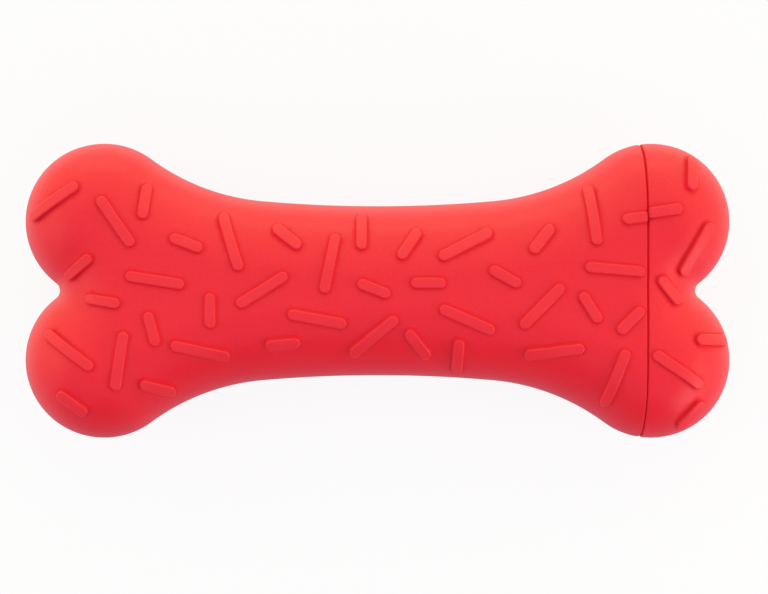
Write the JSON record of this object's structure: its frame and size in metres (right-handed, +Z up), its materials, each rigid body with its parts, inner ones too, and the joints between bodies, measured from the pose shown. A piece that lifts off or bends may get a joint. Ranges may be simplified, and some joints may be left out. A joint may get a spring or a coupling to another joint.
{
  "type": "treat bone dog toy",
  "caption": "Bone-shaped rubber dog toy with raised sprinkle pads; one end twists off to open a treat chamber along the shaft.",
  "frame": {"origin": "middle of the bone in plan, at the level of the lowest pads it lies on", "axes": "+X along the bone towards the twist-off end, +Y across it, +Z up through its thickness"},
  "size_m": [0.16, 0.0668, 0.0345],
  "materials": {
    "body_rubber": "satin red rubber with raised pads",
    "collar_plastic": "satin red moulded plastic",
    "cap_rubber": "satin red rubber with raised pads",
    "plug_plastic": "satin red moulded plastic",
    "ring_rubber": "smooth ivory seal rubber"
  },
  "bodies": {
    "bone": {"bone_body": "body_rubber", "mouth_collar": "collar_plastic"},
    "seal": {"seal_ring": "ring_rubber"},
    "cap": {"end_cap": "cap_rubber", "twist_plug": "plug_plastic"}
  },
  "joints": [
    {"name": "cap_travel", "type": "slide", "parent": "bone", "child": "seal", "axis": [1, 0, 0], "range_m": [0, 0.02]},
    {"name": "cap_twist", "type": "hinge", "parent": "seal", "child": "cap", "pos_m": [0.0596, 0, 0.01725], "axis": [1, 0, 0], "range_deg": [0, 720]}
  ],
  "couplings": [
    {"joint": "cap_travel", "follows": "cap_twist", "m_per_rad": 0.0015915}
  ]
}
